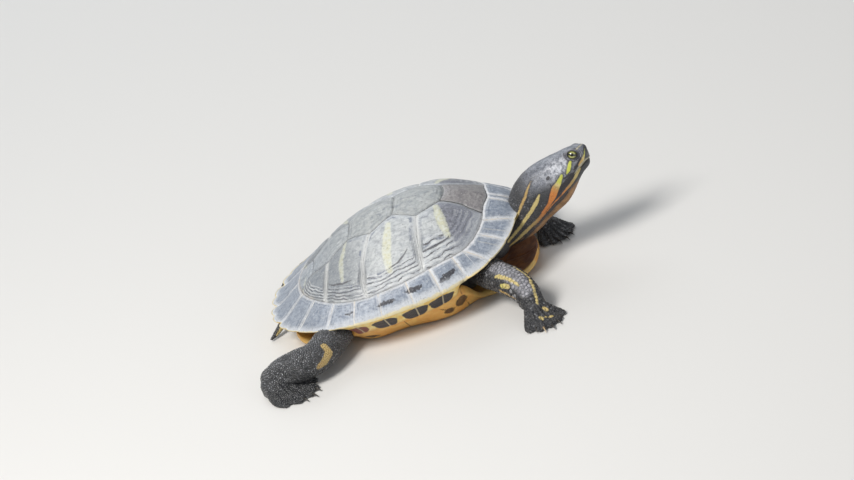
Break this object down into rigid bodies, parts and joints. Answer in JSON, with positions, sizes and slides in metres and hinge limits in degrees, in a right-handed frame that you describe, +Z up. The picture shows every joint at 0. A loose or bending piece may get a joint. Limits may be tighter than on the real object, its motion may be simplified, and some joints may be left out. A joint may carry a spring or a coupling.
{
  "type": "slider turtle",
  "caption": "Life-size pond slider turtle lying on its lower shell, neck raised, feet spread flat on the floor, low domed shell, striped neck.",
  "frame": {"origin": "on the floor, at the flat of the lower shell, under the middle of the upper shell", "axes": "+X towards the head, +Y towards the turtle's left, +Z up"},
  "size_m": [0.3006, 0.2245, 0.0896],
  "materials": {
    "shell_horn": "dry, dusty grey-brown horn with growth rings",
    "plastron_horn": "orange-yellow horn with dark figures",
    "dark_skin": "dark scaly skin with yellow stripes",
    "neck_skin": "grey-black skin with yellow and orange stripes",
    "eye": "wet, yellow-green with a dark bar",
    "claw_horn": "dark horn"
  },
  "bodies": {
    "root": {"carapace": "shell_horn", "eye_left": "eye", "eye_right": "eye", "foot_left": "dark_skin", "foot_right": "dark_skin", "fore_claw_left_1": "claw_horn", "fore_claw_left_2": "claw_horn", "fore_claw_left_3": "claw_horn", "fore_claw_left_4": "claw_horn", "fore_claw_left_5": "claw_horn", "fore_claw_right_1": "claw_horn", "fore_claw_right_2": "claw_horn", "fore_claw_right_3": "claw_horn", "fore_claw_right_4": "claw_horn", "fore_claw_right_5": "claw_horn", "forearm_left": "dark_skin", "forearm_right": "dark_skin", "hand_left": "dark_skin", "hand_right": "dark_skin", "head": "neck_skin", "hind_claw_left_1": "claw_horn", "hind_claw_left_2": "claw_horn", "hind_claw_left_3": "claw_horn", "hind_claw_left_4": "claw_horn", "hind_claw_right_1": "claw_horn", "hind_claw_right_2": "claw_horn", "hind_claw_right_3": "claw_horn", "hind_claw_right_4": "claw_horn", "lower_jaw": "neck_skin", "neck": "neck_skin", "plastron": "plastron_horn", "shank_left": "dark_skin", "shank_right": "dark_skin", "tail": "dark_skin", "thigh_left": "dark_skin", "thigh_right": "dark_skin", "trunk": "dark_skin", "upper_arm_left": "dark_skin", "upper_arm_right": "dark_skin"}
  },
  "joints": []
}
